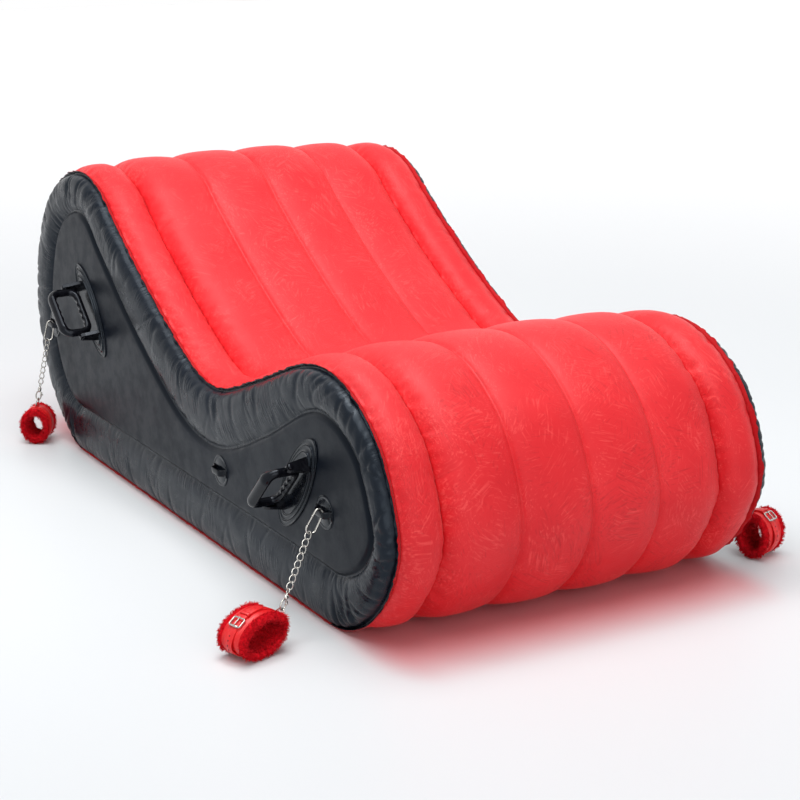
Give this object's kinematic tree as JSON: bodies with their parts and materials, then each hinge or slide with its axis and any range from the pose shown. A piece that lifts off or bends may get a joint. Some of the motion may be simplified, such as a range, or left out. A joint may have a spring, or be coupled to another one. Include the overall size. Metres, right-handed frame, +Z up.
{
  "type": "inflatable lounger",
  "caption": "Inflated lounger with a high back rest and a rounded foot roll, grab handles on both sides and tethered cuffs at the corners.",
  "frame": {"origin": "middle of the flat base sheet, on the floor", "axes": "+X towards the foot end, +Y towards the side away from the camera, +Z up"},
  "size_m": [1.7661, 1.1936, 0.6804],
  "materials": {
    "red_flock": "flocked, short nap with brush marks",
    "black_vinyl": "satin, soft creases at the welds",
    "inner_vinyl": "matt sheet",
    "black_plastic": "glossy moulded",
    "steel": "polished nickel plate",
    "red_leather": "smooth, slightly glossy",
    "red_fur": "short plush fur"
  },
  "bodies": {
    "body": {"top_cover": "red_flock", "right_edge_band": "red_flock", "left_edge_band": "red_flock", "right_side_panel": "black_vinyl", "left_side_panel": "black_vinyl", "base_panel": "inner_vinyl", "web_right_edge": "inner_vinyl", "web_right": "inner_vinyl", "web_centre": "inner_vinyl", "web_left": "inner_vinyl", "web_left_edge": "inner_vinyl", "valve_body": "black_plastic", "right_front_handle_patch": "black_vinyl", "right_rear_handle_patch": "black_vinyl", "right_front_tab": "black_plastic", "right_middle_tab": "black_plastic", "right_rear_tab": "black_plastic", "left_front_handle_patch": "black_vinyl", "left_rear_handle_patch": "black_vinyl", "left_front_tab": "black_plastic", "left_middle_tab": "black_plastic", "left_rear_tab": "black_plastic"},
    "right_front_grip": {"right_front_grip": "black_plastic"},
    "right_rear_grip": {"right_rear_grip": "black_plastic"},
    "left_front_grip": {"left_front_grip": "black_plastic"},
    "left_rear_grip": {"left_rear_grip": "black_plastic"},
    "right_front_carabiner": {"right_front_carabiner": "steel"},
    "right_front_gate": {"right_front_gate": "steel"},
    "right_front_chain": {"right_front_chain": "steel"},
    "right_front_hook": {"right_front_snap_hook": "steel", "right_front_ring": "steel"},
    "right_front_cuff": {"right_front_cuff": "red_leather", "right_front_fur": "red_fur", "right_front_buckle": "steel"},
    "right_rear_carabiner": {"right_rear_carabiner": "steel"},
    "right_rear_gate": {"right_rear_gate": "steel"},
    "right_rear_chain": {"right_rear_chain": "steel"},
    "right_rear_hook": {"right_rear_snap_hook": "steel", "right_rear_ring": "steel"},
    "right_rear_cuff": {"right_rear_cuff": "red_leather", "right_rear_fur": "red_fur", "right_rear_buckle": "steel"},
    "left_front_carabiner": {"left_front_carabiner": "steel"},
    "left_front_gate": {"left_front_gate": "steel"},
    "left_front_chain": {"left_front_chain": "steel"},
    "left_front_hook": {"left_front_snap_hook": "steel", "left_front_ring": "steel"},
    "left_front_cuff": {"left_front_cuff": "red_leather", "left_front_fur": "red_fur", "left_front_buckle": "steel"},
    "left_rear_carabiner": {"left_rear_carabiner": "steel"},
    "left_rear_gate": {"left_rear_gate": "steel"},
    "left_rear_chain": {"left_rear_chain": "steel"},
    "left_rear_hook": {"left_rear_snap_hook": "steel", "left_rear_ring": "steel"},
    "left_rear_cuff": {"left_rear_cuff": "red_leather", "left_rear_fur": "red_fur", "left_rear_buckle": "steel"},
    "valve_cap": {"valve_cap": "black_plastic"}
  },
  "joints": [
    {"name": "right_front_grip_rock", "type": "hinge", "parent": "body", "child": "right_front_grip", "pos_m": [0.52993, -0.457, 0.242], "axis": [0.7071, 0, 0.7071], "range_deg": [-20, 20]},
    {"name": "right_rear_grip_rock", "type": "hinge", "parent": "body", "child": "right_rear_grip", "pos_m": [-0.49003, -0.457, 0.36198], "axis": [0.7547, 0, -0.6561], "range_deg": [-20, 20]},
    {"name": "left_front_grip_rock", "type": "hinge", "parent": "body", "child": "left_front_grip", "pos_m": [0.52993, 0.457, 0.242], "axis": [0.7071, 0, 0.7071], "range_deg": [-20, 20]},
    {"name": "left_rear_grip_rock", "type": "hinge", "parent": "body", "child": "left_rear_grip", "pos_m": [-0.49003, 0.457, 0.36198], "axis": [0.7547, 0, -0.6561], "range_deg": [-20, 20]},
    {"name": "right_front_carabiner_swing", "type": "hinge", "parent": "body", "child": "right_front_carabiner", "pos_m": [0.63502, -0.4287, 0.21701], "axis": [-1, 0, 0], "range_deg": [0, 65]},
    {"name": "right_front_gate_hinge", "type": "hinge", "parent": "right_front_carabiner", "child": "right_front_gate", "pos_m": [0.63502, -0.45066, 0.19958], "axis": [-1, 0, 0], "range_deg": [0, 16], "stiffness_Nm_per_rad": 0.02, "springref_deg": -5.73},
    {"name": "right_front_chain_swing", "type": "hinge", "parent": "right_front_carabiner", "child": "right_front_chain", "pos_m": [0.63502, -0.44384, 0.1918], "axis": [-1, 0, 0], "range_deg": [0, 45]},
    {"name": "right_front_hook_swivel", "type": "hinge", "parent": "right_front_chain", "child": "right_front_hook", "pos_m": [0.66056, -0.50833, 0.08448], "axis": [0.2164, -0.5028, -0.8368], "range_deg": [-45, 45]},
    {"name": "right_front_cuff_flap", "type": "hinge", "parent": "right_front_hook", "child": "right_front_cuff", "pos_m": [0.66824, -0.52858, 0.05124], "axis": [0.9564, 0.2921, 0], "range_deg": [-12, 12]},
    {"name": "right_rear_carabiner_swing", "type": "hinge", "parent": "body", "child": "right_rear_carabiner", "pos_m": [-0.72997, -0.4287, 0.28103], "axis": [-1, 0, 0], "range_deg": [0, 65]},
    {"name": "right_rear_gate_hinge", "type": "hinge", "parent": "right_rear_carabiner", "child": "right_rear_gate", "pos_m": [-0.72997, -0.4442, 0.25767], "axis": [-1, 0, 0], "range_deg": [0, 16], "stiffness_Nm_per_rad": 0.02, "springref_deg": -5.73},
    {"name": "right_rear_chain_swing", "type": "hinge", "parent": "right_rear_carabiner", "child": "right_rear_chain", "pos_m": [-0.72997, -0.43531, 0.25238], "axis": [-1, 0, 0], "range_deg": [0, 45]},
    {"name": "right_rear_hook_swivel", "type": "hinge", "parent": "right_rear_chain", "child": "right_rear_hook", "pos_m": [-0.72997, -0.46411, 0.12767], "axis": [0, -0.225, -0.9744], "range_deg": [-45, 45]},
    {"name": "right_rear_cuff_flap", "type": "hinge", "parent": "right_rear_hook", "child": "right_rear_cuff", "pos_m": [-0.73169, -0.47181, 0.08884], "axis": [0.8089, -0.5879, 0], "range_deg": [-12, 12]},
    {"name": "left_front_carabiner_swing", "type": "hinge", "parent": "body", "child": "left_front_carabiner", "pos_m": [0.63502, 0.4287, 0.21701], "axis": [1, 0, 0], "range_deg": [0, 65]},
    {"name": "left_front_gate_hinge", "type": "hinge", "parent": "left_front_carabiner", "child": "left_front_gate", "pos_m": [0.63502, 0.44767, 0.19636], "axis": [1, 0, 0], "range_deg": [0, 16], "stiffness_Nm_per_rad": 0.02, "springref_deg": -5.73},
    {"name": "left_front_chain_swing", "type": "hinge", "parent": "left_front_carabiner", "child": "left_front_chain", "pos_m": [0.63502, 0.43971, 0.18975], "axis": [1, 0, 0], "range_deg": [0, 45]},
    {"name": "left_front_hook_swivel", "type": "hinge", "parent": "left_front_chain", "child": "left_front_hook", "pos_m": [0.68489, 0.48352, 0.08132], "axis": [0.4226, 0.3395, -0.8403], "range_deg": [-45, 45]},
    {"name": "left_front_cuff_flap", "type": "hinge", "parent": "left_front_hook", "child": "left_front_cuff", "pos_m": [0.70277, 0.49404, 0.04769], "axis": [-0.3, 0.9539, 0], "range_deg": [-12, 12]},
    {"name": "left_rear_carabiner_swing", "type": "hinge", "parent": "body", "child": "left_rear_carabiner", "pos_m": [-0.72997, 0.4287, 0.28103], "axis": [1, 0, 0], "range_deg": [0, 65]},
    {"name": "left_rear_gate_hinge", "type": "hinge", "parent": "left_rear_carabiner", "child": "left_rear_gate", "pos_m": [-0.72997, 0.4442, 0.25767], "axis": [1, 0, 0], "range_deg": [0, 16], "stiffness_Nm_per_rad": 0.02, "springref_deg": -5.73},
    {"name": "left_rear_chain_swing", "type": "hinge", "parent": "left_rear_carabiner", "child": "left_rear_chain", "pos_m": [-0.72997, 0.43531, 0.25238], "axis": [1, 0, 0], "range_deg": [0, 45]},
    {"name": "left_rear_hook_swivel", "type": "hinge", "parent": "left_rear_chain", "child": "left_rear_hook", "pos_m": [-0.72997, 0.46411, 0.12767], "axis": [0, 0.225, -0.9744], "range_deg": [-45, 45]},
    {"name": "left_rear_cuff_flap", "type": "hinge", "parent": "left_rear_hook", "child": "left_rear_cuff", "pos_m": [-0.73169, 0.47181, 0.08884], "axis": [0.8089, 0.5879, 0], "range_deg": [-12, 12]},
    {"name": "valve_cap_pull", "type": "slide", "parent": "body", "child": "valve_cap", "axis": [-0.9266, 0, -0.3761], "range_m": [0, 0.03]}
  ]
}
